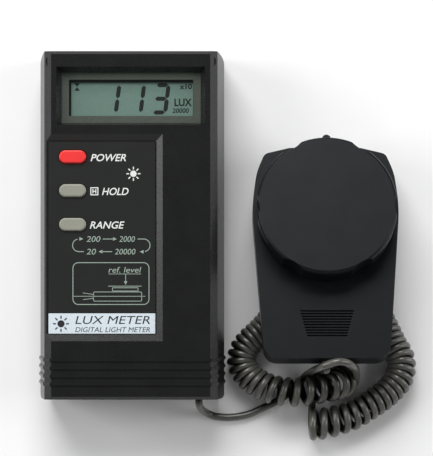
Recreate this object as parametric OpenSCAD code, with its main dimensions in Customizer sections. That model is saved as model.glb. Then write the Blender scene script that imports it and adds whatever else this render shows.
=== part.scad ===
// Handheld lux meter with a separate light detector on a curly lead.
// Both units lie on their backs on a table: origin at the centre of the meter's back face,
// +Z out of its front, +Y towards its display, +X towards the detector. Millimetres.

/* [Meter case] */
// Length of the meter
case_l = 135; // [130:1:140]
// Width of the meter at the joint of its two shells
case_w = 72; // [70:1:75]
// Thickness of the meter
case_h = 33; // [32.5:0.1:34]
// Height of the joint between the rear and front shells
split_z = 16; // [15:0.5:16]
// Wall thickness of the shells
wall = 2; // [1.6:0.1:2.2]
// Number of grip ribs below the name plate
rib_count = 4; // [2:1:5]
// Spacing of the grip ribs
rib_pitch = 3.1; // [2.6:0.1:3.4]

/* [Display] */
// Width of the recess at the clear window
window_w = 53.8; // [50:0.1:54]
// Visible width of the liquid crystal display
lcd_w = 48; // [44:0.5:49]
// Visible height of the liquid crystal display
lcd_h = 14; // [12:0.5:15]

/* [Keys] */
// Length of a key cap
key_l = 10.4; // [9:0.1:11]
// Width of a key cap
key_w = 5; // [4.5:0.1:5.4]
// Travel of a key
key_travel = 0.8; // [0.4:0.1:0.8]
// Gap round a key in its slot
key_gap = 0.3; // [0.2:0.05:0.4]

/* [Battery compartment] */
// Width of the battery
battery_w = 26.2; // [26:0.1:26.4]
// Width of the sliding door
door_w = 36; // [34:0.5:36]

/* [Detector] */
// Length of the detector's body
detector_l = 84; // [83:0.5:84]
// Thickness of the detector's body
detector_t = 13; // [13:0.1:13.5]
// Angle of the detector, which leans on its own lead
detector_tilt = 13.6; // [13.5:0.1:13.8]
// Diameter of the protective cap
cap_d = 54.4; // [53.4:0.1:54.6]
// Height of the cap's top above the detector's back
cap_top = 27; // [26.5:0.1:27.5]
// Number of finger scallops round the cap
scallops = 6; // [4:1:8]
// Diameter of the light-diffusing dome
dome_d = 40; // [38:0.5:40]

/* [Lead] */
// Diameter of the lead
lead_d = 2.9; // [2:0.1:2.9]
// Outer diameter of the coiled stretch
coil_d = 11.7; // [11:0.1:11.7]

/* [Hidden] */
$fn = 64;
eps = 0.01;

// Heights of the stack behind the front face
panel_z = case_h - 2;
panel_t = 2;
overlay_t = 0.3;
window_z = case_h - 3.2;
window_t = 1.2;
mask_t = 0.3;
glass_top = case_h - 6.2;
glass_t = 2.4;
board_top = 19.6;
board_t = 1.6;
pad_z = panel_z - panel_t;

// Display layout
window_y = [39.5, 59];
lcd_y = 49.3;

// Control panel layout: the recess floor runs out through the left bevel
panel_x = [-32.4, 9.7];
panel_y = [-41.9, 32.5];
panel_slope = [2.6, 2.7];
key_x = -22.4;
key_y = [26.4, 13.4, 0.35];
plate_top = -33.9;

// Fasteners
case_screw_xy = [[-30, 63.2], [30, 63.2], [-28, -58], [28, -58]];
case_screw_r = 1.4;
board_screw_xy = [[-28.2, 33.6], [28.2, 33.6], [-28.2, -6], [28.2, -6]];
board_screw_r = 1;

// Battery compartment, measured along the meter
bay_y = [-64.4, -12];
bay_wall = 1.6;
battery_y = [-63.9, -17.5];
battery_z = [2.8, 19.8];
terminal_l = 1.9;
door_y = [-66.4, -11];
door_z = [0.3, 2.3];
door_lip = 1;

// Lead exit from the meter
exit_x = 26.1;
exit_z = 13;

// Detector layout, measured from the top end of its back face
detector_at = [75.7, 27.5, 0];
detector_wall = 1.8;
detector_split = 6.5;
cap_y = -26.6;
cap_wall = 2.5;
collar_r = 23.8;
collar_top = 17;
dome_base = 17.5;
dome_rise = 5.7;
grille_y = [-65.5, -75.2];
grille_w = [20.8, 15.5];
grille_slots = 10;
gland_l = 1.2;
detector_screw_xy = [[-18.5, -9], [18.5, -9], [-18, -77], [18, -77]];

// ---- helpers ----

function unit(v) = v / norm(v);

// A point of the detector, in the row's frame
function on_detector(p) = [
  detector_at.x + p.x,
  detector_at.y + p.y * cos(detector_tilt) + p.z * sin(detector_tilt),
  p.z * cos(detector_tilt) - p.y * sin(detector_tilt)
];

// The arc that rounds corner p between its neighbours a and b
function corner_arc(a, p, b, r) =
  let (
    u = unit(a - p),
    w = unit(b - p),
    half = acos(u * w) / 2,
    c = p + unit(u + w) * r / sin(half),
    t1 = p + u * r / tan(half),
    t2 = p + w * r / tan(half),
    a1 = atan2(t1.y - c.y, t1.x - c.x),
    a2 = atan2(t2.y - c.y, t2.x - c.x),
    sweep = (a2 - a1 + 540) % 360 - 180
  )
  [for (i = [0 : 6]) c + r * [cos(a1 + sweep * i / 6), sin(a1 + sweep * i / 6)]];

function rounded(pts, radii) =
  let (n = len(pts))
  [for (i = [0 : n - 1]) each corner_arc(pts[(i + n - 1) % n], pts[i], pts[(i + 1) % n], radii[i])];

// Smooth curve through hand-placed points, n steps to each span
function curve_at(a, b, c, d, t) =
  0.5 * (2 * b + (c - a) * t + (2 * a - 5 * b + 4 * c - d) * t * t
  + (3 * b - a - 3 * c + d) * t * t * t);
function smooth(pts, n) =
  let (last = len(pts) - 1)
  [
    for (i = [0 : last - 1])
      for (k = [0 : n - 1])
        curve_at(pts[max(i - 1, 0)], pts[i], pts[i + 1], pts[min(i + 2, last)], k / n),
    pts[last]
  ];

// Directions along a curve, and a side vector carried along it without twist
function tangents(p) =
  let (last = len(p) - 1)
  [for (i = [0 : last]) unit(p[min(i + 1, last)] - p[max(i - 1, 0)])];
function square_to(v, t) = unit(v - (v * t) * t);
function sides_of(t, i = 0, v = [0.3, 0.2, 1]) =
  i == len(t) ? [] : let (s = square_to(v, t[i])) concat([s], sides_of(t, i + 1, s));

// Round tube swept along a list of points
module tube(path, d, sides) {
  t = tangents(path);
  s = sides_of(t);
  n = len(path);
  ring = [for (i = [0 : n - 1]) for (j = [0 : sides - 1])
    path[i] + d / 2 * (cos(360 * j / sides) * s[i] + sin(360 * j / sides) * cross(t[i], s[i]))];
  skin = [for (i = [0 : n - 2]) for (j = [0 : sides - 1])
    let (a = i * sides + j, b = i * sides + (j + 1) % sides)
    each [[a, a + sides, b + sides], [a, b + sides, b]]];
  start = [for (j = [0 : sides - 1]) j];
  finish = [for (j = [0 : sides - 1]) n * sides - 1 - j];
  polyhedron(ring, concat(skin, [start, finish]));
}

module along_y(y) {
  translate([0, y[1], 0]) rotate([90, 0, 0]) linear_extrude(y[1] - y[0]) children();
}

module along_x(x) {
  translate([x[0], 0, 0]) rotate([90, 0, 90]) linear_extrude(x[1] - x[0]) children();
}

module slab(x, y, z) {
  translate([x[0], y[0], z[0]]) cube([x[1] - x[0], y[1] - y[0], z[1] - z[0]]);
}

module column(xy, z, r) {
  translate([xy.x, xy.y, z[0]]) cylinder(r = r, h = z[1] - z[0]);
}

module stadium(l, w) {
  square([l - w, w], center = true);
  for (s = [-1, 1]) translate([s * (l - w) / 2, 0]) circle(d = w);
}

module on_the_detector() {
  translate(detector_at) rotate([-detector_tilt, 0, 0]) children();
}

// ---- meter case ----

// Plan of the case: small corners at the bottom end, larger ones at the display end
module case_plan(inset) {
  w = case_w / 2 - inset;
  l = case_l / 2 - inset;
  top_r = 4.5 - inset;
  low_r = 1.4 - inset / 3;
  translate([-w, -l + low_r]) square([2 * w, 2 * l - low_r - top_r]);
  translate([-w + top_r, 0]) square([2 * (w - top_r), l]);
  translate([-w + low_r, -l]) square([2 * (w - low_r), l]);
  for (s = [-1, 1]) {
    translate([s * (w - top_r), l - top_r]) circle(top_r);
    translate([s * (w - low_r), -l + low_r]) circle(low_r);
  }
}

// Outer section across the case, from the joint up over the bevels
module front_section() {
  w = case_w / 2;
  polygon([[-w, split_z], [w, split_z], [w - 2.6, case_h - 2.8], [w - 5.4, case_h],
    [5.4 - w, case_h], [2.6 - w, case_h - 2.8]]);
}

module rear_section() {
  w = case_w / 2;
  polygon([[-w, split_z], [w, split_z], [w - 1.5, 2.5], [w - 4, 0], [4 - w, 0], [1.5 - w, 2.5]]);
}

module front_ends() {
  l = case_l / 2;
  polygon([[-l, split_z], [l, split_z], [l - 0.4, case_h - 1.3], [l - 1.6, case_h],
    [1.6 - l, case_h], [0.4 - l, case_h - 1.3]]);
}

module rear_ends() {
  l = case_l / 2;
  polygon([[-l, split_z], [l, split_z], [l - 0.7, 1.5], [l - 2.2, 0], [2.2 - l, 0], [0.7 - l, 1.5]]);
}

module front_solid() {
  intersection() {
    along_y([-case_l, case_l]) front_section();
    along_x([-case_w, case_w]) front_ends();
    translate([0, 0, split_z]) linear_extrude(case_h) case_plan(0);
  }
}

module rear_solid() {
  intersection() {
    along_y([-case_l, case_l]) rear_section();
    along_x([-case_w, case_w]) rear_ends();
    linear_extrude(split_z) case_plan(0);
  }
}

// Outline of the case's section grown outwards, for the ribs
module rib_section(proud) {
  w = case_w / 2 + proud;
  polygon([[-w, split_z], [w, split_z], [w - 2.6, case_h - 2.8 + proud / 3], [w - 5.4, case_h + proud],
    [5.4 - w, case_h + proud], [2.6 - w, case_h - 2.8 + proud / 3]]);
}

// One grip rib: a rounded bead over the front face, both bevels and both sides
module grip_rib(y) {
  for (step = [[0.8, 0.2], [0.64, 0.4], [0.38, 0.55]])
    along_y([y - step[0], y + step[0]]) rib_section(step[1]);
}

// Sloping walls of the display recess
module display_recess() {
  w = window_w / 2;
  top = case_h + 1;
  intersection() {
    along_y([0, case_l]) polygon([[-w, window_z], [w, window_z], [w + 2.27, top], [-w - 2.27, top]]);
    along_x([-case_w, case_w]) polygon([[window_y[0], window_z], [window_y[1], window_z],
      [window_y[1] + 2.67, top], [window_y[0] - 1.2, top]]);
  }
}

// Shallow recess of the control panel, open through the left bevel
module panel_recess() {
  rise = case_h - panel_z;
  out = 1.5;
  intersection() {
    along_y([-case_l, case_l]) polygon([[-case_w, panel_z], [panel_x[1], panel_z],
      [panel_x[1] + panel_slope[0] * out, panel_z + rise * out], [-case_w, panel_z + rise * out]]);
    along_x([-case_w, case_w]) polygon([[panel_y[0], panel_z], [panel_y[1], panel_z],
      [panel_y[1] + panel_slope[1] * out, panel_z + rise * out],
      [panel_y[0] - panel_slope[0] * out, panel_z + rise * out]]);
  }
}

module key_slots(z) {
  for (y = key_y) translate([key_x, y, z[0]]) linear_extrude(z[1] - z[0])
    stadium(key_l + 2 * key_gap, key_w + 2 * key_gap);
}

module front_cavity() {
  intersection() {
    along_y([-case_l, case_l]) offset_section();
    translate([0, 0, split_z - 1]) linear_extrude(panel_z - split_z + 1) case_plan(wall);
  }
}

module offset_section() {
  w = case_w / 2 - wall;
  polygon([[-w, split_z - 1], [w, split_z - 1], [w - 2.6, case_h - 4], [w - 4, panel_z],
    [4 - w, panel_z], [2.6 - w, case_h - 4]]);
}

module front_case() {
  color("#1d1d1f") difference() {
    union() {
      difference() {
        union() {
          front_solid();
          for (i = [0 : rib_count - 1]) grip_rib(-51.8 - i * rib_pitch);
        }
        front_cavity();
      }
      intersection() {
        union() {
          slab([-33, 12.8], [-45.4, 36.2], [pad_z, panel_z + 0.5]);
          slab([-30, 30], [36.6, 62], [case_h - 4.5, panel_z + 0.5]);
        }
        front_solid();
      }
      for (p = case_screw_xy) column(p, [split_z, panel_z + 0.5], 2.8);
      for (p = board_screw_xy) column(p, [board_top, panel_z + 0.5], 2.2);
    }
    display_recess();
    slab([-window_w / 2, window_w / 2], window_y, [window_z - 2, window_z + eps]);
    slab([-28.3, 28.3], [38.2, 60.3], [case_h - 6, window_z]);
    panel_recess();
    key_slots([pad_z - 1, case_h]);
    for (p = case_screw_xy) column(p, [split_z - 1, 28], case_screw_r);
    for (p = board_screw_xy) column(p, [board_top - 1, 27], board_screw_r);
  }
}

module rear_case() {
  color("#1b1b1d") difference() {
    union() {
      difference() {
        rear_solid();
        translate([0, 0, wall]) linear_extrude(case_h) case_plan(wall + 1.1);
      }
      intersection() {
        union() {
          slab([-21, 21], [-case_l, door_y[1] + 1.5], [eps, 3.6]);
          slab([-battery_w / 2 - 0.5 - bay_wall, battery_w / 2 + 0.5 + bay_wall],
            [-case_l, bay_y[1] + bay_wall], [1, split_z - 0.2]);
        }
        rear_solid();
      }
      for (p = case_screw_xy) column(p, [1, split_z], 2.8);
    }
    slab([-battery_w / 2 - 0.5, battery_w / 2 + 0.5], bay_y, [-1, split_z + 1]);
    slab([-door_w / 2 - 0.2, door_w / 2 + 0.2], [-case_l, door_y[1] + 0.2], [-1, 1.2]);
    slab([-door_w / 2 - door_lip - 0.2, door_w / 2 + door_lip + 0.2],
      [-case_l, door_y[1] + 0.2], [1.1, door_z[1] + 0.2]);
    for (p = case_screw_xy) {
      column(p, [-1, split_z + 1], case_screw_r + 0.2);
      column(p, [-1, 3.6], 2.5);
    }
    translate([exit_x, -case_l, exit_z]) rotate([-90, 0, 0]) cylinder(r = 2, h = 80);
  }
}

module battery_door() {
  color("#1f1f21") difference() {
    union() {
      slab([-door_w / 2, door_w / 2], door_y, [door_z[0], door_z[1]]);
      slab([-door_w / 2 - door_lip, door_w / 2 + door_lip], door_y, [1.4, door_z[1]]);
    }
    for (i = [0 : 4]) slab([-7, 7], [-58 + 1.8 * i, -57 + 1.8 * i], [-1, door_z[0] + 0.5]);
  }
}

// ---- power ----

module battery() {
  r = 2;
  w = battery_w / 2;
  mid = (battery_z[0] + battery_z[1]) / 2;
  color("#30343c") {
    along_y(battery_y) {
      translate([-w + r, battery_z[0]]) square([2 * (w - r), battery_z[1] - battery_z[0]]);
      translate([-w, battery_z[0] + r]) square([2 * w, battery_z[1] - battery_z[0] - 2 * r]);
      for (x = [r - w, w - r], z = [battery_z[0] + r, battery_z[1] - r]) translate([x, z]) circle(r);
    }
    translate([-6.35, battery_y[1], mid]) rotate([-90, 0, 0]) cylinder(r = 2.9, h = terminal_l);
    translate([6.35, battery_y[1], mid]) rotate([-90, 0, 0]) cylinder(r = 3.8, h = terminal_l, $fn = 6);
  }
}

module battery_snap() {
  mid = (battery_z[0] + battery_z[1]) / 2;
  color("#202020") difference() {
    slab([-12.4, 12.4], [battery_y[1] + 0.2, battery_y[1] + 4.2], [mid - 5, mid + 5]);
    for (x = [-6.35, 6.35]) translate([x, battery_y[1] - 1, mid]) rotate([-90, 0, 0])
      cylinder(r = 4, h = terminal_l + 1.2);
  }
}

// Two short insulated wires from the snap up to the board
module battery_leads() {
  mid = (battery_z[0] + battery_z[1]) / 2;
  y = battery_y[1] + 3;
  color("#b02020") for (x = [-8, 8]) {
    translate([x, y, mid + 5]) cylinder(d = 1.4, h = 6.5, $fn = 16);
    translate([x, y, mid + 11.5]) sphere(d = 1.4, $fn = 16);
    translate([x, y, mid + 11.5]) rotate([-90, 0, 0]) cylinder(d = 1.4, h = 9, $fn = 16);
    translate([x, y + 9, mid + 11.5]) sphere(d = 1.4, $fn = 16);
    translate([x, y + 9, board_top]) cylinder(d = 1.4, h = mid + 11.5 - board_top, $fn = 16);
  }
}

// ---- electronics ----

module main_board() {
  color("#1f6b3a") difference() {
    slab([-30.4, 30.4], [-9, 59.8], [board_top - board_t, board_top]);
    for (p = board_screw_xy) column(p, [0, case_h], board_screw_r + 0.15);
  }
}

module converter_chip() {
  low = board_top - board_t;
  color("#222222") {
    slab([-25.5, 25.5], [44, 57.5], [low - 4, low - 0.4]);
    for (i = [0 : 19], y = [42.8, 58.2])
      slab([-24.6 + 2.54 * i, -24 + 2.54 * i], [y, y + 0.5], [low - 2.6, low]);
    for (i = [0 : 19], y = [[42.8, 44.2], [57.3, 58.7]])
      slab([-24.6 + 2.54 * i, -24 + 2.54 * i], y, [low - 2.6, low - 2.2]);
  }
}

module amplifier_chip() {
  low = board_top - board_t;
  color("#222222") slab([-6, 3.5], [26, 32.4], [low - 3.5, low]);
}

module calibration_trimmers() {
  low = board_top - board_t;
  for (i = [0 : 2]) translate([14, 22 - 10 * i, low - 4]) {
    color("#2458a8") slab([-3.3, 3.3], [-3.3, 3.3], [0, 4]);
    color("#d8c060") translate([0, 0, -0.5]) difference() {
      cylinder(r = 1.5, h = 0.5);
      slab([-2, 2], [-0.25, 0.25], [-1, 0.3]);
    }
  }
}

module key_switches() {
  for (y = key_y) translate([key_x, y, board_top]) {
    color("#333333") slab([-3, 3], [-3, 3], [0, 3.5]);
    color("#c8c4b8") translate([0, 0, 3.5]) cylinder(r = 1.7, h = 0.9);
  }
}

// ---- display ----

module lcd_window() {
  color([0.75, 0.8, 0.78, 0.35])
    slab([-28.2, 28.2], [38.3, 60.2], [window_z - window_t, window_z]);
}

module lcd_mask() {
  z = window_z - window_t;
  color("#8f998c") difference() {
    slab([-28.2, 28.2], [38.3, 60.2], [z - mask_t, z]);
    slab([-lcd_w / 2, lcd_w / 2], [lcd_y - lcd_h / 2, lcd_y + lcd_h / 2], [z - 1, z + 1]);
  }
}

module lcd_glass() {
  color("#b5bdaf") slab([-27.2, 27.2], [38.7, 59.6], [glass_top - glass_t, glass_top]);
}

module lcd_holder() {
  color("#2a2a2c") difference() {
    slab([-28.2, 28.2], [37, 60.2], [board_top, window_z - window_t - mask_t]);
    slab([-27.3, 27.3], [38.6, 59.7], [board_top - 1, glass_top]);
    slab([-25, 25], [lcd_y - lcd_h / 2 - 0.8, lcd_y + lcd_h / 2 + 0.8], [glass_top - 1, case_h]);
  }
}

module zebra_strips() {
  color("#4a4a4a") for (y = [[39, 41.4], [56.9, 59.3]])
    slab([-26, 26], y, [board_top, glass_top - glass_t]);
}

// ---- control panel ----

module overlay_outline() {
  polygon([[-31.7, panel_y[0] + 0.2], [panel_x[1] - 0.3, panel_y[0] + 0.2],
    [panel_x[1] - 0.3, panel_y[1] - 0.3], [-31.7, panel_y[1] - 0.3]]);
}

module panel_overlay() {
  color("#2b2b2e") difference() {
    translate([0, 0, panel_z]) linear_extrude(overlay_t) overlay_outline();
    slab([-case_w, case_w], [-case_l, plate_top], [0, case_h + 1]);
    key_slots([0, case_h + 1]);
  }
}

module name_plate() {
  color("#cfd6e2") translate([0, 0, panel_z]) linear_extrude(overlay_t) intersection() {
    overlay_outline();
    translate([-case_w, plate_top - 20]) square([2 * case_w, 20]);
  }
}

// A key cap with its retaining flange under the panel and a stem towards its switch
module key_button(y) {
  translate([key_x, y, 0]) {
    translate([0, 0, pad_z - 0.1]) linear_extrude(case_h - 0.9 - pad_z) stadium(key_l, key_w);
    translate([0, 0, case_h - 1]) linear_extrude(0.5) stadium(key_l - 0.8, key_w - 0.8);
    translate([0, 0, pad_z - 1]) linear_extrude(0.9) stadium(key_l + 2, key_w + 2);
    translate([0, 0, board_top + 4.4 + key_travel]) cylinder(r = 1.6, h = pad_z - 1 - board_top - 4.4);
  }
}

module power_button() {
  color("#e2373f") key_button(key_y[0]);
}

module hold_button() {
  color("#9a9790") key_button(key_y[1]);
}

module range_button() {
  color("#9a9790") key_button(key_y[2]);
}

// ---- fasteners and lead exit of the meter ----

module case_screws() {
  color("#8a8c90") for (p = case_screw_xy) difference() {
    union() {
      column(p, [1.9, 3.6], 2.4);
      column(p, [3.5, 25], case_screw_r);
    }
    slab([p.x - 1.6, p.x + 1.6], [p.y - 0.3, p.y + 0.3], [0, 2.8]);
    slab([p.x - 0.3, p.x + 0.3], [p.y - 1.6, p.y + 1.6], [0, 2.8]);
  }
}

module board_screws() {
  low = board_top - board_t;
  color("#8a8c90") for (p = board_screw_xy) difference() {
    union() {
      column(p, [low - 1.3, low], 2);
      column(p, [low - eps, 26], board_screw_r);
    }
    slab([p.x - 1.2, p.x + 1.2], [p.y - 0.25, p.y + 0.25], [0, low - 0.6]);
  }
}

module cord_grommet() {
  wall_y = -case_l / 2;
  color("#151515") translate([exit_x, wall_y - 0.8, exit_z]) rotate([-90, 0, 0]) {
    cylinder(r = 2.7, h = 0.8);
    cylinder(r = 2, h = 4.2);
    translate([0, 0, 4.1]) cylinder(r = 2.7, h = 0.9);
  }
}

// ---- detector ----

// Plan of the detector: widest beside the cap, tapering to its lower end
function detector_plan(inset) =
  let (
    half = [[14 - inset / 4, -inset], [23.8 - inset, -2.4 - inset / 2], [27 - inset, -10], [28.8 - inset, -24],
      [24.2 - inset, inset - detector_l]],
    r = [4, 3 - inset / 2, 24, 60, 5.5 - inset / 2],
    back = [for (i = [4 : -1 : 0]) [-half[i].x, half[i].y]]
  )
  rounded(concat(half, back), concat(r, [for (i = [4 : -1 : 0]) r[i]]));

module detector_slab(z, inset) {
  translate([0, 0, z[0]]) linear_extrude(z[1] - z[0]) polygon(detector_plan(inset));
}

module gland_hole() {
  translate([0, -detector_l - 1, detector_split]) rotate([-90, 0, 0]) cylinder(r = 1.9, h = 6);
}

module detector_front_case() {
  face = detector_t;
  color("#24262a") on_the_detector() difference() {
    union() {
      difference() {
        detector_slab([detector_split, face], 0);
        detector_slab([detector_split - 1, face - detector_wall], detector_wall);
      }
      translate([0, cap_y, face - 1]) cylinder(r = collar_r, h = collar_top - face + 1);
      for (p = detector_screw_xy) column(p, [detector_split, face - 1], 2.6);
    }
    translate([0, cap_y, 0]) cylinder(r = dome_d / 2 + 0.3, h = cap_top);
    for (p = detector_screw_xy) column(p, [0, face - 2], board_screw_r);
    for (i = [0 : grille_slots - 1]) {
      t = i / (grille_slots - 1);
      w = grille_w[0] + (grille_w[1] - grille_w[0]) * t;
      y = grille_y[0] + (grille_y[1] - grille_y[0]) * t;
      slab([-w / 2, w / 2], [y - 0.26, y + 0.26], [face - 0.9, face + 1]);
    }
    gland_hole();
  }
}

module detector_rear_case() {
  color("#222428") on_the_detector() difference() {
    union() {
      difference() {
        union() {
          detector_slab([0, 0.9], 0.8);
          detector_slab([0.8, detector_split], 0);
        }
        detector_slab([detector_wall, detector_split + 1], detector_wall);
      }
      for (p = detector_screw_xy) column(p, [0.5, detector_split], 2.6);
      for (p = [[-9, -60], [9, -60], [-9, -12], [9, -12]]) column(p, [1, 3], 1.8);
    }
    for (p = detector_screw_xy) {
      column(p, [-1, detector_split + 1], board_screw_r + 0.2);
      column(p, [-1, 2.2], 2);
    }
    gland_hole();
  }
}

// Flat round cap with shallow finger scallops and one pull tab
module detector_cap() {
  r = cap_d / 2;
  low = detector_t + 0.05;
  scallop_depth = 1.3;
  scallop_r = 10.3;
  color("#232529") on_the_detector() translate([0, cap_y, 0]) difference() {
    union() {
      rotate_extrude($fn = 128) polygon([[0, low], [r, low], [r, cap_top - 1.2],
        [r - 0.4, cap_top - 0.4], [r - 1.2, cap_top], [0, cap_top]]);
      column([0, r - 0.3], [low, cap_top - 2], 1.7);
    }
    translate([0, 0, low - 1]) cylinder(r = r - cap_wall, h = cap_top - 1.8 - low + 1);
    for (i = [0 : scallops - 1]) rotate(360 * i / scallops)
      translate([r - scallop_depth + scallop_r, 0, low - 1]) cylinder(r = scallop_r, h = cap_top);
  }
}

// Hollow dome of opal plastic on a flat flange
module diffuser_dome() {
  r = dome_d / 2;
  ball = (r * r + dome_rise * dome_rise) / (2 * dome_rise);
  skin = 2;
  color("#e8e6e0") on_the_detector() translate([0, cap_y, 0]) difference() {
    union() {
      translate([0, 0, 9]) cylinder(r = r + 2.8, h = 1.6);
      translate([0, 0, 9]) cylinder(r = r, h = dome_base - 9);
      intersection() {
        translate([0, 0, dome_base + dome_rise - ball]) sphere(ball, $fn = 128);
        translate([0, 0, dome_base - 1]) cylinder(r = r, h = 10);
      }
    }
    intersection() {
      translate([0, 0, dome_base + dome_rise - ball]) sphere(ball - skin, $fn = 128);
      translate([0, 0, 8]) cylinder(r = r - skin, h = 20);
    }
  }
}

module dome_seal() {
  color("#101010") on_the_detector() translate([0, cap_y, 10.6]) difference() {
    cylinder(r = dome_d / 2 + 2.8, h = 0.6);
    translate([0, 0, -1]) cylinder(r = dome_d / 2 + 0.3, h = 3);
  }
}

module filter_holder() {
  color("#1a1a1a") on_the_detector() translate([0, cap_y, 4.6]) difference() {
    cylinder(r = 7.6, h = 4.4);
    translate([0, 0, -1]) cylinder(r = 5.5, h = 7);
  }
}

module colour_filter() {
  color([0.45, 0.62, 0.42, 0.6]) on_the_detector() translate([0, cap_y, 6.8]) cylinder(r = 5.5, h = 1.8);
}

module photodiode() {
  color("#c9b46a") on_the_detector() translate([0, cap_y, 4.6]) {
    cylinder(r = 4.6, h = 0.8);
    cylinder(r = 4.1, h = 2.2);
  }
}

module detector_board() {
  color("#1f6b3a") on_the_detector() difference() {
    slab([-14, 14], [-64, -8], [3, 4.6]);
    for (p = [[-9, -60], [9, -60], [-9, -12], [9, -12]]) column(p, [2, 6], 0.9);
  }
}

module detector_screws() {
  color("#8a8c90") on_the_detector() for (p = detector_screw_xy) difference() {
    union() {
      column(p, [0.9, 2.2], 1.9);
      column(p, [2.1, 10], board_screw_r);
    }
    slab([p.x - 1.2, p.x + 1.2], [p.y - 0.25, p.y + 0.25], [0, 1.5]);
  }
}

module detector_gland() {
  color("#151515") on_the_detector() translate([0, -detector_l - gland_l, detector_split])
    rotate([-90, 0, 0]) {
      cylinder(r = 2.1, h = gland_l);
      cylinder(r = 1.9, h = gland_l + 3.2);
    }
}

// ---- lead ----

// From the meter's end along the table, under the coil, up over the detector's lower edge
lead_route = [
  [26.1, -68.42, 13], [26.1, -69.8, 13], [26.5, -71.7, 10.6], [27.5, -73.2, 6.6], [28.8, -74.4, 3.2],
  [30.5, -75.4, 1.7], [33.1, -76.2, 1.5], [38.8, -76.5, 1.5], [45.7, -75.3, 1.5], [50.8, -73.1, 1.5],
  [55.2, -71, 1.5], [59.5, -68.6, 1.5], [63.6, -65.4, 1.5], [66.6, -61.9, 2.2], [68.4, -59.6, 5.2],
  [69.6, -58.2, 10], [70.6, -57, 16], [71.4, -56.1, 22.5], [72.3, -55.4, 27], [74.3, -54.2, 31.4],
  [77, -53, 33.3], [80.4, -52.3, 33.7], [84, -53.1, 31.5], [86.5, -55, 26.5], [87.7, -57.8, 19],
  [87.6, -60.7, 13.4], [86.3, -63.6, 11.2], [83.6, -65.4, 10.8]
];

// Axis of the coiled stretch: over the lead, round to the left, under the detector and back
coil_route = [
  [81, -62.2, 14], [77.7, -63.5, 12], [73, -64.7, 10], [67.6, -65.5, 9.1],
  [62.2, -65.9, 8.8], [56.2, -65.1, 8.6], [51.2, -63.4, 7.9], [46.8, -60.7, 6.6], [43.8, -57, 6],
  [42.9, -53.3, 5.9], [44, -49.2, 5.9], [46.9, -45.6, 5.9], [51.4, -41.4, 5.9], [56.4, -35.6, 5.9],
  [61.6, -29.8, 5.9], [68, -25, 5.9], [75.6, -22.9, 5.9], [83.4, -24, 5.9], [90.4, -28, 5.9],
  [96, -34, 5.9], [99.9, -41, 5.9], [103, -47.4, 5.9], [105.7, -51.8, 5.9], [106.4, -56.3, 5.9],
  [105.3, -60.7, 5.9], [102.5, -64.5, 5.9], [98.1, -68.4, 5.9], [93.1, -71.7, 5.9], [87.6, -75, 5.9],
  [82.1, -76.9, 5.9], [76.6, -78.3, 5.9], [70.9, -78.9, 5.9]
];

// From the lower end of the coil, under its upper end, to the detector
tail_route = [
  [70.9, -78.9, 1.5], [70.9, -76.8, 1.5], [71, -74.4, 1.5], [71.1, -71.8, 1.5], [71.3, -68.8, 1.5],
  [71.6, -65.5, 1.5], [71.9, -62, 1.8], [72.4, -59.6, 3.8], [73.2, -58, 7.5], [74.1, -57.2, 13],
  [74.8, -56.6, 18.5], [75.3, -56.4, 22.6], [75.7, -56.1, 25.8], [75.7, -54.9, 26.6],
  on_detector([0, -detector_l - gland_l - 0.04, detector_split])
];

module cord_lead() {
  color("#4a4640") tube(smooth(lead_route, 2), lead_d, 8);
}

module cord_coil() {
  color("#45413c") tube(smooth(coil_route, 2), coil_d, 16);
}

module cord_tail() {
  color("#4a4640") tube(smooth(tail_route, 2), lead_d, 8);
}

front_case();
rear_case();
battery_door();
battery();
battery_snap();
battery_leads();
main_board();
converter_chip();
amplifier_chip();
calibration_trimmers();
lcd_window();
lcd_mask();
lcd_glass();
lcd_holder();
zebra_strips();
panel_overlay();
name_plate();
power_button();
hold_button();
range_button();
key_switches();
case_screws();
board_screws();
cord_grommet();
detector_front_case();
detector_rear_case();
detector_cap();
diffuser_dome();
dome_seal();
filter_holder();
colour_filter();
photodiode();
detector_board();
detector_screws();
detector_gland();
cord_lead();
cord_coil();
cord_tail();
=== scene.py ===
import math

import bmesh
import bpy
import numpy as np
from mathutils import Matrix, Vector


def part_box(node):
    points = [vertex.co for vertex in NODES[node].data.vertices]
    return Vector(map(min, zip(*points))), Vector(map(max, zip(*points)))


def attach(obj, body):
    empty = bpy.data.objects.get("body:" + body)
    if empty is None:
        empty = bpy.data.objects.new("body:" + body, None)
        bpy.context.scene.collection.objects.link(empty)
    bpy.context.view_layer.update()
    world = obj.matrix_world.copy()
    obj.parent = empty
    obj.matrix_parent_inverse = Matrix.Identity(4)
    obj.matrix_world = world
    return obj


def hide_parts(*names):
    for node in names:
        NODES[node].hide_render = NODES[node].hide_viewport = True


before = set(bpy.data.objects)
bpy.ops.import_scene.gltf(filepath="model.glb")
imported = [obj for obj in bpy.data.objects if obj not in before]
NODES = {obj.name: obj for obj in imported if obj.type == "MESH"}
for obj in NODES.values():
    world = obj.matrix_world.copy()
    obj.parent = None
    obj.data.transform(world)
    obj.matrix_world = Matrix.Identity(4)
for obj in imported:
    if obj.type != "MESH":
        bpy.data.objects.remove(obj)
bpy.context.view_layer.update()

MM = 0.001

# ---------------------------------------------------------------- camera

CAMERA_AT = Vector((33.0, -1.0, 870)) * MM
CAMERA_LENS = 171.9
CAMERA_SENSOR = 36


def make_camera():
    """Looks straight down on both units from high above them."""
    data = bpy.data.cameras.new("camera")
    data.lens = CAMERA_LENS
    data.sensor_width = CAMERA_SENSOR
    camera = bpy.data.objects.new("camera", data)
    camera.location = CAMERA_AT
    bpy.context.scene.collection.objects.link(camera)
    bpy.context.scene.camera = camera


make_camera()

# ---------------------------------------------------------------- lead

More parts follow.
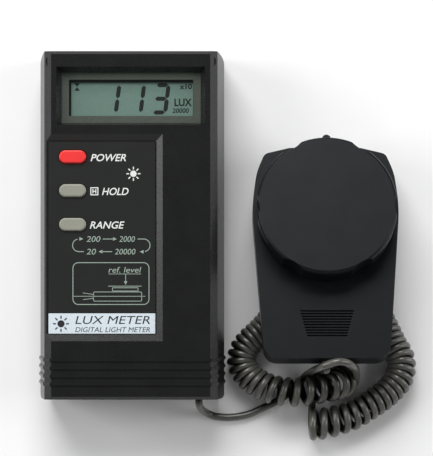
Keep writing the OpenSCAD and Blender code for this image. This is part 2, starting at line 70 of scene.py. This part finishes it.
LEAD_D = 2.9 * MM
COIL_R = 4.4
STEPS_PER_TURN = 26
STEPS_PER_SPAN = 8
AXIS_STEPS_PER_SPAN = 40
AXIS_SAMPLES = 8000
HEADING_REACH = 3
LEAD_BEVEL_ROUNDS = 4

# The routes are in millimetres and follow those that part.scad gives the lead's three solids. They differ
# at the coil's raised end, which has points of its own, and at the tail, which goes on into the gland.
LEAD_ROUTE = [
    (26.1, -68.42, 13), (26.1, -69.8, 13), (26.5, -71.7, 10.6), (27.5, -73.2, 6.6), (28.8, -74.4, 3.2),
    (30.5, -75.4, 1.7), (33.1, -76.2, 1.5), (38.8, -76.5, 1.5), (45.7, -75.3, 1.5), (50.8, -73.1, 1.5),
    (55.2, -71, 1.5), (59.5, -68.6, 1.5), (63.6, -65.4, 1.5), (66.6, -61.9, 2.2), (68.4, -59.6, 5.2),
    (69.6, -58.2, 10), (70.6, -57, 16), (71.4, -56.1, 22.5), (72.3, -55.4, 27), (74.3, -54.2, 31.4),
    (77, -53, 33.3), (80.4, -52.3, 33.7), (84, -53.1, 31.5), (86.5, -55, 26.5), (87.7, -57.8, 19),
    (87.9, -60.7, 13.2), (86.9, -63.6, 11),
]
COIL_ROUTE = [
    (82.2, -61.4, 10.6), (81.6, -61.6, 13.4), (80, -62.4, 13.4), (77.7, -63.5, 11.6), (73, -64.7, 10),
    (67.6, -65.5, 9.1), (62.2, -65.9, 8.8), (56.2, -65.1, 8.6), (51.2, -63.4, 7.9), (46.8, -60.7, 6.6),
    (43.8, -57, 6),
    (42.9, -53.3, 5.9), (44, -49.2, 5.9), (46.9, -45.6, 5.9), (51.4, -41.4, 5.9), (56.4, -35.6, 5.9),
    (61.6, -29.8, 5.9), (68, -25, 5.9), (75.6, -22.9, 5.9), (83.4, -24, 5.9), (90.4, -28, 5.9),
    (96, -34, 5.9), (99.9, -41, 5.9), (103, -47.4, 5.9), (105.7, -51.8, 5.9), (106.4, -56.3, 5.9),
    (105.3, -60.7, 5.9), (102.5, -64.5, 5.9), (98.1, -68.4, 5.9), (93.1, -71.7, 5.9), (87.6, -75, 5.9),
    (82.1, -76.9, 5.9), (76.6, -78.3, 5.9), (70.9, -78.9, 5.9),
]
TAIL_ROUTE = [
    (70.9, -76.8, 1.5), (71, -74.4, 1.5), (71.1, -71.8, 1.5), (71.3, -68.8, 1.5),
    (71.6, -65.5, 1.5), (71.9, -62, 1.8), (72.4, -59.6, 3.8), (73.2, -58, 7.5), (74.1, -57.2, 13),
    (74.8, -56.6, 18.5), (75.3, -56.4, 22.6), (75.7, -56.1, 25.8), (75.7, -54.9, 26.6),
    (75.7, -53.82, 26.36),
]

# Tables for the coil, each of pairs: a distance along its axis in millimetres and the value there. The first
# half is measured from the raised end and the second half back from the low end. PITCH is the axis length of
# a turn, LEAN the angle of a turn out of square in radians, and SWELL what a turn's radius gains. All were
# tuned.
PITCH = (
    [(0, 3.8), (2.5, 2.4), (4, 2.2), (6, 3.0), (10, 4.6), (22, 5.0), (30, 4.4), (36, 3.3), (42, 2.6),
     (48, 2.45)],
    [(34, 2.75), (26, 3.2), (16, 3.9), (8, 4.4), (0, 4.6)],
)
LEAN = (
    [(0, 1.25), (3, 1.2), (5, 0.85), (8, 0.5), (13, 0.3), (18, 0.1), (25, -0.15), (36, -0.25), (42, -0.25),
     (90, -0.3), (110, 0.3)],
    [(24, 0.3), (14, 0.25), (6, 0.05), (0, 0.0)],
)
SWELL = ([(0, 0.9), (10, 0.1)], [(22, 0), (4, 0.6)])


def smooth(points, steps):
    """A curve through given points, with so many steps to each span."""
    p = np.array(points, float)
    last = len(p) - 1
    out = []
    for i in range(last):
        a, b, c, d = p[max(i - 1, 0)], p[i], p[i + 1], p[min(i + 2, last)]
        for k in range(steps):
            t = k / steps
            out.append(0.5 * (2 * b + (c - a) * t + (2 * a - 5 * b + 4 * c - d) * t * t
                              + (3 * b - a - 3 * c + d) * t ** 3))
    out.append(p[last])
    return np.array(out)


def read_table(table, s, total):
    """The value of a coil table at distance s along an axis that is so long in total."""
    near, far = table
    at = [distance for distance, value in near] + [total - distance for distance, value in far]
    return np.interp(s, at, [value for distance, value in near + far])


def coil_wire():
    """The coiled stretch, in millimetres: a left-handed helix about its route.

    The turns are open at both ends and close between. Each turn leans out of square to the axis,
    most of all at the raised end, and the last half turn closes on itself where the tail leaves it.
    """
    axis = smooth(COIL_ROUTE, AXIS_STEPS_PER_SPAN)
    along = np.concatenate([[0], np.cumsum(np.linalg.norm(np.diff(axis, axis=0), axis=1))])
    total = along[-1]
    fine = np.linspace(0, total, AXIS_SAMPLES)
    pitch = read_table(PITCH, fine, total)
    turn_at = np.concatenate([[0], np.cumsum(np.diff(fine) / pitch[1:])])
    last_top = round(turn_at[-1] - 0.75) + 0.75
    turn_at *= last_top / turn_at[-1]
    wire = []
    for k in range(int((last_top + 0.5) * STEPS_PER_TURN) + 1):
        turn = k / STEPS_PER_TURN
        s = np.interp(min(turn, last_top), turn_at, fine)
        at, ahead, behind = (
            np.array([np.interp(np.clip(s + step, 0, total), along, axis[:, i]) for i in range(3)])
            for step in (0, HEADING_REACH, -HEADING_REACH)
        )
        way = ahead - behind
        way[2] = 0
        way /= np.linalg.norm(way)
        side = np.array([way[1], -way[0], 0])
        lean = read_table(LEAN, s, total)
        up = np.array([0, 0, math.cos(lean)]) - math.sin(lean) * way
        swell = read_table(SWELL, s, total)
        angle = math.pi + 2 * math.pi * turn
        lift = swell if s > total / 2 else 0
        spoke = math.cos(angle) * side + math.sin(angle) * up
        wire.append(at + (COIL_R + swell) * spoke + (0, 0, lift))
    return np.array(wire)


def make_lead():
    """The whole lead as one tube, along the line drawn here."""
    coil = coil_wire()
    lead = smooth(LEAD_ROUTE + [tuple(coil[1])], STEPS_PER_SPAN)
    tail = smooth([tuple(coil[-1])] + TAIL_ROUTE, STEPS_PER_SPAN)
    line = np.concatenate([lead, coil[3:-1], tail]) * MM
    data = bpy.data.curves.new("lead", "CURVE")
    data.dimensions = "3D"
    spline = data.splines.new("POLY")
    spline.points.add(len(line) - 1)
    spline.points.foreach_set("co", np.column_stack([line, np.ones(len(line))]).ravel())
    spline.use_smooth = True
    data.bevel_depth = LEAD_D / 2
    data.bevel_resolution = LEAD_BEVEL_ROUNDS
    data.use_fill_caps = True
    swept = bpy.data.objects.new("lead", data)
    piece = bpy.data.objects.new("curly_lead", bpy.data.meshes.new_from_object(swept))
    bpy.data.objects.remove(swept)
    bpy.context.scene.collection.objects.link(piece)
    piece.data.shade_smooth()
    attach(piece, "meter")
    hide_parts("cord_lead", "cord_coil", "cord_tail")
    return piece


LEAD = make_lead()

# ---------------------------------------------------------------- materials


def shader(name):
    """A new material, its node tree, and its Principled shader."""
    m = bpy.data.materials.new(name)
    m.use_nodes = True
    return m, m.node_tree, m.node_tree.nodes["Principled BSDF"]


def noise(tree, scale, detail=3.0, stretch=None):
    """Noise in the object's own space, stretched along an axis where asked."""
    where = tree.nodes.new("ShaderNodeTexCoord").outputs["Object"]
    if stretch:
        mapping = tree.nodes.new("ShaderNodeMapping")
        mapping.inputs["Scale"].default_value = stretch
        tree.links.new(where, mapping.inputs["Vector"])
        where = mapping.outputs["Vector"]
    texture = tree.nodes.new("ShaderNodeTexNoise")
    texture.inputs["Scale"].default_value = scale
    texture.inputs["Detail"].default_value = detail
    tree.links.new(where, texture.inputs["Vector"])
    return texture.outputs["Fac"]


def spread(tree, value, low, high, span=(0.3, 0.7)):
    """Maps a 0 to 1 value between two numbers."""
    ranged = tree.nodes.new("ShaderNodeMapRange")
    ranged.inputs["From Min"].default_value = span[0]
    ranged.inputs["From Max"].default_value = span[1]
    ranged.inputs["To Min"].default_value = low
    ranged.inputs["To Max"].default_value = high
    tree.links.new(value, ranged.inputs["Value"])
    return ranged.outputs["Result"]


def blend(tree, value, dark, light, span=(0.3, 0.7)):
    """Mixes two colours by a value."""
    ramp = tree.nodes.new("ShaderNodeValToRGB")
    ramp.color_ramp.elements[0].position = span[0]
    ramp.color_ramp.elements[1].position = span[1]
    ramp.color_ramp.elements[0].color = (*dark, 1)
    ramp.color_ramp.elements[1].color = (*light, 1)
    tree.links.new(value, ramp.inputs["Fac"])
    return ramp.outputs["Color"]


def bump(tree, bsdf, value, strength, depth):
    """Fine relief from a value, with its depth in metres."""
    node = tree.nodes.new("ShaderNodeBump")
    node.inputs["Strength"].default_value = strength
    node.inputs["Distance"].default_value = depth
    tree.links.new(value, node.inputs["Height"])
    tree.links.new(node.outputs["Normal"], bsdf.inputs["Normal"])


def moulded(name, colour, rough, grain=1.0, grain_scale=2600, vary=0.18, specular=0.5):
    """Moulded plastic: spark-eroded grain, faint clouding of the colour and of the gloss."""
    m, tree, bsdf = shader(name)
    cloud = noise(tree, 90, 4)
    dark = [c * (1 - vary) for c in colour]
    light = [c * (1 + vary) for c in colour]
    tree.links.new(blend(tree, cloud, dark, light), bsdf.inputs["Base Color"])
    fine = noise(tree, grain_scale, 2)
    tree.links.new(spread(tree, fine, rough - 0.06, rough + 0.06), bsdf.inputs["Roughness"])
    bump(tree, bsdf, fine, 0.5 * grain, 0.00004)
    bsdf.inputs["Specular IOR Level"].default_value = specular
    return m


def printed(name, colour, rough=0.5):
    """Screen-printed ink with a faintly uneven coat."""
    m, tree, bsdf = shader(name)
    cloud = noise(tree, 1500, 3)
    dark = [c * 0.88 for c in colour]
    tree.links.new(blend(tree, cloud, dark, colour), bsdf.inputs["Base Color"])
    tree.links.new(spread(tree, cloud, rough, rough + 0.1), bsdf.inputs["Roughness"])
    bump(tree, bsdf, cloud, 0.2, 0.00001)
    return m


def metal(name, colour, rough):
    """Bare or plated metal with fine drawn lines."""
    m, tree, bsdf = shader(name)
    lines = noise(tree, 900, 3, (1, 12, 1))
    tree.links.new(blend(tree, lines, [c * 0.8 for c in colour], colour), bsdf.inputs["Base Color"])
    tree.links.new(spread(tree, lines, rough, rough + 0.12), bsdf.inputs["Roughness"])
    bump(tree, bsdf, lines, 0.2, 0.00001)
    bsdf.inputs["Metallic"].default_value = 1
    return m


def clear(name, colour, rough, alpha):
    """Clear plastic or glass that is seen through."""
    m, tree, bsdf = shader(name)
    haze = noise(tree, 60, 3)
    tree.links.new(spread(tree, haze, rough, rough + 0.03), bsdf.inputs["Roughness"])
    tree.links.new(blend(tree, haze, [c * 0.97 for c in colour], colour), bsdf.inputs["Base Color"])
    bsdf.inputs["Alpha"].default_value = alpha
    bsdf.inputs["IOR"].default_value = 1.49
    return m


def lead_jacket():
    """Semi-gloss PVC with small scuffs, and painted shade: ambient occlusion dims its colour and its gloss
    in the gaps between its turns.
    """
    m, tree, bsdf = shader("lead_jacket")
    cloud = noise(tree, 260, 4)
    fine = noise(tree, 3200, 2)
    jacket = blend(tree, cloud, (0.066, 0.065, 0.057), (0.1, 0.098, 0.087))
    # Painted shade: ambient occlusion dims the jacket's colour and gloss where the turns hide each other
    # from the light.
    occlusion = tree.nodes.new("ShaderNodeAmbientOcclusion")
    occlusion.samples = 8
    occlusion.inputs["Distance"].default_value = 0.012
    painted_shade = tree.nodes.new("ShaderNodeMapRange")
    painted_shade.inputs["From Min"].default_value = 0.45
    painted_shade.inputs["From Max"].default_value = 0.85
    painted_shade.inputs["To Min"].default_value = 0.12
    tree.links.new(occlusion.outputs["AO"], painted_shade.inputs["Value"])
    shaded_jacket = tree.nodes.new("ShaderNodeVectorMath")
    shaded_jacket.operation = "SCALE"
    tree.links.new(jacket, shaded_jacket.inputs["Vector"])
    tree.links.new(painted_shade.outputs["Result"], shaded_jacket.inputs["Scale"])
    tree.links.new(shaded_jacket.outputs["Vector"], bsdf.inputs["Base Color"])
    tree.links.new(spread(tree, fine, 0.26, 0.36), bsdf.inputs["Roughness"])
    bump(tree, bsdf, fine, 0.2, 0.00003)
    painted_shade_gloss = tree.nodes.new("ShaderNodeMath")
    painted_shade_gloss.operation = "MULTIPLY"
    painted_shade_gloss.inputs[1].default_value = 0.7
    tree.links.new(painted_shade.outputs["Result"], painted_shade_gloss.inputs[0])
    tree.links.new(painted_shade_gloss.outputs["Value"], bsdf.inputs["Specular IOR Level"])
    return m


def board():
    """Green solder mask over copper tracks that show as paler lines."""
    m, tree, bsdf = shader("board_green")
    tracks = noise(tree, 300, 1, (1, 0.15, 1))
    green = blend(tree, tracks, (0.01, 0.11, 0.035), (0.03, 0.2, 0.07), (0.48, 0.52))
    tree.links.new(green, bsdf.inputs["Base Color"])
    tree.links.new(spread(tree, tracks, 0.25, 0.35), bsdf.inputs["Roughness"])
    bump(tree, bsdf, tracks, 0.4, 0.00003)
    return m


def liquid_crystal():
    """Grey-green reflective display with a fine even mottle."""
    m, tree, bsdf = shader("lcd")
    mottle = noise(tree, 1400, 2)
    tree.links.new(blend(tree, mottle, (0.22, 0.355, 0.3), (0.245, 0.39, 0.33)), bsdf.inputs["Base Color"])
    tree.links.new(spread(tree, mottle, 0.35, 0.42), bsdf.inputs["Roughness"])
    return m


MATERIALS = {
    "case": moulded("case_plastic", (0.0075, 0.0078, 0.0079), 0.3, 0.8, specular=0.42),
    "rear": moulded("rear_plastic", (0.013, 0.013, 0.0135), 0.46, 1.3),
    "overlay": moulded("overlay_film", (0.016, 0.0173, 0.0163), 0.34, 0.5, 3600, 0.06, 0.35),
    "plate": printed("plate_film", (0.66, 0.74, 0.8), 0.42),
    "mask": printed("mask_print", (0.105, 0.125, 0.1), 0.6),
    "lcd": liquid_crystal(),
    "window": clear("window_acrylic", (0.015, 0.02, 0.02), 0.03, 0.15),
    "red": moulded("key_red", (0.8, 0.035, 0.035), 0.36, 0.4, 2000, 0.05),
    "grey": moulded("key_grey", (0.27, 0.275, 0.225), 0.42, 0.4, 2000, 0.05),
    "detector": moulded("detector_plastic", (0.0045, 0.006, 0.0072), 0.36, 1.2, 2200, specular=0.16),
    "cap": moulded("cap_plastic", (0.006, 0.0078, 0.0098), 0.38, 1.2, 2200, specular=0.16),
    "inner": moulded("inner_plastic", (0.02, 0.02, 0.02), 0.5),
    "rubber": moulded("black_rubber", (0.012, 0.012, 0.012), 0.6),
    "opal": moulded("opal_plastic", (0.8, 0.79, 0.75), 0.35, 0.4, 1500, 0.03),
    "filter": clear("filter_glass", (0.2, 0.42, 0.18), 0.05, 0.7),
    "steel": metal("zinc_steel", (0.6, 0.6, 0.62), 0.3),
    "brass": metal("diode_metal", (0.7, 0.58, 0.28), 0.28),
    "board": board(),
    "blue": moulded("trimmer_plastic", (0.02, 0.1, 0.42), 0.4, 0.4),
    "battery": moulded("battery_shell", (0.05, 0.06, 0.08), 0.3, 0.3),
    "wire": moulded("wire_red", (0.45, 0.02, 0.02), 0.4, 0.4),
    "lead": lead_jacket(),
    "white_ink": printed("white_ink", (0.78, 0.8, 0.78)),
    "green_ink": printed("green_ink", (0.32, 0.4, 0.34)),
    "dark_ink": printed("dark_ink", (0.012, 0.012, 0.016)),
    "segment": printed("segment_ink", (0.006, 0.01, 0.009), 0.5),
    # Painted shadow: the matte black ring inside the display window stands for the mask's shadow on the
    # glass.
    "shadow_ring": moulded("shadow_ring_black", (0.006, 0.0065, 0.006), 0.8, specular=0.1),
}

NODE_MATERIALS = {
    "front_case": "case", "rear_case": "rear", "battery_door": "rear", "battery": "battery",
    "battery_snap": "inner", "battery_leads": "wire", "main_board": "board", "converter_chip": "inner",
    "amplifier_chip": "inner", "calibration_trimmers": "blue", "lcd_window": "window", "lcd_mask": "mask",
    "lcd_glass": "lcd", "lcd_holder": "inner", "zebra_strips": "rubber", "panel_overlay": "overlay",
    "name_plate": "plate", "power_button": "red", "hold_button": "grey", "range_button": "grey",
    "key_switches": "inner", "case_screws": "steel", "board_screws": "steel", "cord_grommet": "rubber",
    "detector_front_case": "detector", "detector_rear_case": "detector", "detector_cap": "cap",
    "diffuser_dome": "opal", "dome_seal": "rubber", "filter_holder": "inner", "colour_filter": "filter",
    "photodiode": "brass", "detector_board": "board", "detector_screws": "steel", "detector_gland": "rubber",
}

LEAD.data.materials.append(MATERIALS["lead"])


def coat(piece, material):
    """Gives a piece one material in place of any it has."""
    piece.data.materials.clear()
    piece.data.materials.append(MATERIALS[material])


for node, material in NODE_MATERIALS.items():
    coat(NODES[node], material)

# ---------------------------------------------------------------- softened edges

# Edge radius of each moulded node, in millimetres, and the segments of its round
EDGES = {
    "front_case": (0.28, 3), "rear_case": (0.35, 2), "battery_door": (0.2, 2),
    "power_button": (0.75, 4), "hold_button": (0.75, 4), "range_button": (0.75, 4),
    "detector_cap": (0.5, 3), "detector_front_case": (0.8, 4), "detector_rear_case": (0.6, 3),
    "lcd_mask": (0.05, 1), "battery": (0.3, 2), "case_screws": (0.12, 2), "detector_screws": (0.1, 2),
    "cord_grommet": (0.25, 3), "detector_gland": (0.3, 3), "panel_overlay": (0.05, 1),
    "name_plate": (0.05, 1),
}
WELD_GAP = 0.002 * MM
FLAT_WITHIN = math.radians(0.8)
SHARP_OVER = math.radians(24)


def soften(node, radius, segments):
    """Welds a CAD node's seams and rounds its sharp edges, with modifiers only."""
    piece = NODES[node]
    piece.data.shade_smooth()
    weld = piece.modifiers.new("weld", "WELD")
    weld.merge_threshold = WELD_GAP
    flat = piece.modifiers.new("flat", "DECIMATE")
    flat.decimate_type = "DISSOLVE"
    flat.angle_limit = FLAT_WITHIN
    round_off = piece.modifiers.new("round", "BEVEL")
    round_off.width = radius * MM
    round_off.segments = segments
    round_off.limit_method = "ANGLE"
    round_off.angle_limit = SHARP_OVER
    round_off.use_clamp_overlap = True
    normals = piece.modifiers.new("normals", "WEIGHTED_NORMAL")
    normals.keep_sharp = False
    normals.weight = 100


for node, (radius, segments) in EDGES.items():
    soften(node, radius, segments)

# ---------------------------------------------------------------- prints and display


def new_piece(name, mesh, material, body):
    """A piece of its own, which rides on a body and takes a material slot."""
    piece = bpy.data.objects.new(name, mesh)
    bpy.context.scene.collection.objects.link(piece)
    piece.data.materials.append(MATERIALS[material])
    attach(piece, body)
    return piece


class Print:
    """Flat printed shapes gathered into one thin piece, drawn in millimetres."""

    def __init__(self, z, thick=0.02):
        self.z = z
        self.thick = thick
        self.mesh = bmesh.new()

    def shape(self, outline):
        """A filled outline, anticlockwise, with a small thickness."""
        top = [self.mesh.verts.new((x, y, self.z + self.thick)) for x, y in outline]
        low = [self.mesh.verts.new((x, y, self.z)) for x, y in outline]
        self.mesh.faces.new(top)
        self.mesh.faces.new(low[::-1])
        n = len(outline)
        for i in range(n):
            self.mesh.faces.new((low[i], low[(i + 1) % n], top[(i + 1) % n], top[i]))

    def line(self, points, width):
        """A line of even width along points, as one mitred ribbon."""
        p = [Vector(q) for q in points]
        left, right = [], []
        for i, q in enumerate(p):
            before = (q - p[i - 1]).normalized() if i else (p[1] - q).normalized()
            after = (p[i + 1] - q).normalized() if i < len(p) - 1 else before
            way = (before + after).normalized()
            side = Vector((-way.y, way.x)) * width / 2 / max(way.dot(before), 0.3)
            left.append(q + side)
            right.append(q - side)
        self.shape([tuple(v) for v in right + left[::-1]])

    def arrow(self, tip, way, size):
        """A filled triangular arrowhead."""
        tip, way = Vector(tip), Vector(way).normalized()
        side = Vector((-way.y, way.x))
        back = tip - way * size
        self.shape([tuple(tip), tuple(back + side * size * 0.45), tuple(back - side * size * 0.45)])

    def frame(self, x0, y0, x1, y1, corner, width):
        """A closed outline with rounded corners."""
        outer = rounded_box(x0, y0, x1, y1, corner)
        inner = rounded_box(x0 + width, y0 + width, x1 - width, y1 - width, max(corner - width, 0.01))
        self.ring(outer, inner)

    def ring(self, outer, inner):
        """The band between two outlines that have the same number of points."""
        n = len(outer)
        for i in range(n):
            j = (i + 1) % n
            self.shape([outer[i], outer[j], inner[j], inner[i]])

    def text(self, words, x0, y0, x1, y1, slant=0.0, bold=0.0):
        """Words stretched to fill a box, in the plain built-in letters."""
        data = bpy.data.curves.new("words", "FONT")
        data.body = words
        data.shear = slant
        data.offset = bold
        data.size = 1
        data.resolution_u = 4
        data.extrude = 0.01
        holder = bpy.data.objects.new("words", data)
        bpy.context.scene.collection.objects.link(holder)
        bpy.context.view_layer.update()
        mesh = holder.to_mesh()
        co = np.array([v.co for v in mesh.vertices])
        low, high = co.min(0), co.max(0)
        scale = np.array([x1 - x0, y1 - y0, self.thick]) / (high - low)
        place = Matrix.Translation((x0, y0, self.z)) @ Matrix.Diagonal((*scale, 1))
        mesh.transform(place @ Matrix.Translation(-Vector(low)))
        self.mesh.from_mesh(mesh)
        holder.to_mesh_clear()
        bpy.data.objects.remove(holder)

    def finish(self, name, material, body):
        """Turns the gathered shapes into a piece, in metres."""
        bmesh.ops.scale(self.mesh, vec=(MM, MM, MM), verts=self.mesh.verts)
        bmesh.ops.recalc_face_normals(self.mesh, faces=self.mesh.faces)
        mesh = bpy.data.meshes.new(name)
        self.mesh.to_mesh(mesh)
        self.mesh.free()
        return new_piece(name, mesh, material, body)


def rounded_box(x0, y0, x1, y1, r, steps=6):
    """The outline of a box with rounded corners, anticlockwise."""
    corners = ((x1 - r, y0 + r, -90), (x1 - r, y1 - r, 0), (x0 + r, y1 - r, 90), (x0 + r, y0 + r, 180))
    out = []
    for cx, cy, start in corners:
        for k in range(steps + 1):
            a = math.radians(start + 90 * k / steps)
            out.append((cx + r * math.cos(a), cy + r * math.sin(a)))
    return out


def top_of(node):
    """The height of a CAD node's highest point, in millimetres."""
    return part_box(node)[1].z / MM


def sun(sheet, x, y, r):
    """A small sun sign: a disc and eight rays."""
    sheet.shape([(x + r * 0.45 * math.cos(a), y + r * 0.45 * math.sin(a))
                 for a in (2 * math.pi * k / 20 for k in range(20))])
    for k in range(8):
        a = math.pi * k / 4
        way = (math.cos(a), math.sin(a))
        ray = [(x + r * out * way[0], y + r * out * way[1]) for out in (0.62, 1)]
        sheet.line(ray, r * 0.16)


def key_legends():
    """The words beside the three keys, and the sun sign."""
    sheet = Print(top_of("panel_overlay"))
    slant = 0.26
    bold = 0.012
    sheet.text("POWER", -15.5, 24.7, -1.85, 27.5, slant, bold)
    sheet.text("HOLD", -11.1, 11.65, -0.85, 14.5, slant, bold)
    sheet.text("RANGE", -15.8, -1.25, -2.4, 1.55, slant, bold)
    sheet.frame(-15.6, 11.6, -12.5, 14.7, 0.15, 0.38)
    sheet.text("H", -14.8, 12.3, -13.3, 14.0, 0, 0.03)
    sun(sheet, 1.0, 19.9, 2.7)
    sheet.finish("key_legends", "white_ink", "meter")


def range_diagram():
    """The loop of the four ranges, and the drawing of the meter's reference level."""
    sheet = Print(top_of("panel_overlay"))
    slant = 0.18
    width = 0.3
    top, low, left, right = -5.24, -10.1, -22.45, 7.4
    mid = (top + low) / 2
    r = (top - low) / 2
    sheet.text("200", -17.1, top - 1.1, -11.7, top + 1.1, slant)
    sheet.text("2000", -4.5, top - 1.1, 1.6, top + 1.1, slant)
    sheet.text("20", -17.1, low - 1.1, -13.4, low + 1.1, slant)
    sheet.text("20000", -6.2, low - 1.1, 1.8, low + 1.1, slant)
    sheet.line([(-10.8, top), (-6.6, top)], width)
    sheet.arrow((-5.4, top), (1, 0), 1.5)
    sheet.line([(-7.2, low), (-11.2, low)], width)
    sheet.arrow((-12.4, low), (-1, 0), 1.5)
    arc = [math.radians(a) for a in range(90, -91, -12)][:-1]
    bend = [(right - r + r * math.cos(a), mid + r * math.sin(a)) for a in arc]
    sheet.line([(2.6, top)] + bend, width)
    sheet.arrow((3.4, low), (-1, 0.05), 1.5)
    arc = [math.radians(a) for a in range(270, 89, -12)][:-1]
    bend = [(left + r + r * math.cos(a), mid + r * math.sin(a)) for a in arc]
    sheet.line([(-18.1, low)] + bend, width)
    sheet.arrow((-18.3, top), (1, -0.05), 1.5)
    sheet.frame(left, -30.6, 7.15, -14.2, 2.2, width)
    sheet.text("ref. level", -8.6, -18.2, 4.0, -16.0, slant)
    sheet.line([(-8.6, -18.7), (4.0, -18.7)], 0.2)
    sheet.line([(-2, -18.7), (-2, -21.6)], 0.25)
    sheet.arrow((-2, -22.9), (0, -1), 1.4)
    sheet.line([(-8.7, -23.4), (4.1, -23.4)], 0.25)
    sheet.frame(-7.2, -25.4, 2.9, -23.9, 0.3, 0.25)
    sheet.frame(-14.5, -29.3, 4.3, -25.5, 0.6, 0.25)
    sheet.line([(-22.2, -27.3), (5.6, -27.3)], 0.22)
    sheet.line([(-18.5, -26.0), (-14.5, -26.6)], 0.22)
    sheet.line([(-18.5, -28.6), (-14.5, -28.1)], 0.22)
    sheet.finish("range_diagram", "green_ink", "meter")


def plate_legends():
    """The generic title on the name plate."""
    sheet = Print(top_of("name_plate"))
    sun(sheet, -26.9, -37.9, 3.1)
    sheet.text("LUX METER", -21.4, -38.0, 7.4, -34.9, 0.2)
    sheet.text("DIGITAL LIGHT METER", -21.4, -41.1, 7.4, -39.2, 0.2)
    sheet.finish("plate_legends", "dark_ink", "meter")


def segment(a, b, width):
    """One display segment between two points, with pointed ends."""
    a, b = Vector(a), Vector(b)
    way = (b - a).normalized()
    side = Vector((-way.y, way.x)) * width / 2
    gap = way * 0.12
    a, b = a + gap, b - gap
    tip = way * width / 2
    return [tuple(q) for q in (a, a + tip - side, b - tip - side, b, b - tip + side, a + tip + side)]


def digit(sheet, lit, x, y, w, h, width, slant):
    """A seven-segment digit with its lower left corner at x, y."""
    corners = {
        "a": ((0, h), (w, h)), "b": ((w, h / 2), (w, h)), "c": ((w, 0), (w, h / 2)), "d": ((0, 0), (w, 0)),
        "e": ((0, 0), (0, h / 2)), "f": ((0, h / 2), (0, h)), "g": ((0, h / 2), (w, h / 2)),
    }
    for name in lit:
        shape = segment(*corners[name], width)
        sheet.shape([(x + px + slant * py, y + py) for px, py in shape])


def display_segments():
    """What the display shows: 113, its unit, its multiplier and range, and a small hourglass sign."""
    sheet = Print(top_of("lcd_glass") + 0.01)
    low, h, w, width, slant = 43.75, 10.6, 4.7, 1.6, 0.13
    digit(sheet, "bc", -10.7, low, w, h, width, slant)
    digit(sheet, "bc", -1.1, low, w, h, width, slant)
    digit(sheet, "abcdg", 8.4, low, w, h, width, slant)
    sheet.text("x10", 18.7, 52.7, 23.5, 54.8, 0, 0.03)
    sheet.text("LUX", 16.7, 46.1, 23.5, 49.1, 0, 0.03)
    sheet.text("20000", 15.9, 43.5, 22.3, 45.4, 0.1, 0.02)
    sheet.shape([(-21.9, 54.9), (-21.0, 53.6), (-20.1, 54.9)])
    sheet.shape([(-21.9, 52.3), (-20.1, 52.3), (-21.0, 53.6)])
    sheet.line([(-22, 52.3), (-20, 52.3)], 0.3)
    sheet.line([(-22, 54.9), (-20, 54.9)], 0.3)
    sheet.finish("display_segments", "segment", "meter")


def display_shadow_ring():
    """A dark ring between the mask and the liquid crystal glass: a painted shadow that stands for the shade
    the mask casts on the glass.
    """
    sheet = Print(top_of("lcd_glass") + 0.02, 0.9)
    outer = rounded_box(-25.5, 41.2, 25.5, 57.6, 0.2, 1)
    inner = rounded_box(-23.3, 42.35, 23.9, 55.3, 0.2, 1)
    sheet.ring(outer, inner)
    sheet.finish("display_shadow_ring", "shadow_ring", "meter")


key_legends()
range_diagram()
plate_legends()
display_segments()
display_shadow_ring()

# ---------------------------------------------------------------- floor and light


FLOOR_HALF = 3.0
FLOOR_Z = -0.0002


def make_floor():
    """A plain pale sheet just under everything."""
    mesh = bpy.data.meshes.new("floor")
    half = FLOOR_HALF
    corners = [(-half, -half, 0), (half, -half, 0), (half, half, 0), (-half, half, 0)]
    mesh.from_pydata(corners, [], [(0, 1, 2, 3)])
    floor = bpy.data.objects.new("floor", mesh)
    floor.location.z = FLOOR_Z
    bpy.context.scene.collection.objects.link(floor)
    material, tree, bsdf = shader("floor_paper")
    paper = blend(tree, noise(tree, 40), (0.9, 0.9, 0.9), (0.92, 0.92, 0.92))
    tree.links.new(paper, bsdf.inputs["Base Color"])
    bsdf.inputs["Roughness"].default_value = 0.9
    bsdf.inputs["Specular IOR Level"].default_value = 0.1
    mesh.materials.append(material)


def area_light(name, at, target, size, watts):
    """A soft box at a point, turned to its target."""
    data = bpy.data.lights.new(name, "AREA")
    data.shape = "RECTANGLE"
    data.size, data.size_y = size
    data.energy = watts
    lamp = bpy.data.objects.new(name, data)
    lamp.location = at
    lamp.rotation_euler = (Vector(target) - Vector(at)).to_track_quat("-Z", "Y").to_euler()
    bpy.context.scene.collection.objects.link(lamp)


def make_light():
    """Low soft boxes on all sides and a dim white surround, which keep the black plastics dark."""
    world = bpy.data.worlds.new("studio")
    world.use_nodes = True
    background = world.node_tree.nodes["Background"]
    background.inputs["Color"].default_value = (1, 1, 1, 1)
    background.inputs["Strength"].default_value = 0.15
    bpy.context.scene.world = world
    middle = (0.035, 0, 0.01)
    area_light("far", (-0.2, 1.2, 1.1), middle, (1.2, 0.9), 28)
    area_light("left", (-1.5, 0.3, 0.8), middle, (0.8, 1.4), 15)
    area_light("right", (1.6, 0.2, 0.8), middle, (0.8, 1.4), 12)
    area_light("near", (0.0, -1.5, 0.7), middle, (1.4, 0.8), 2)


make_floor()
make_light()
bpy.context.scene.view_settings.view_transform = "Standard"
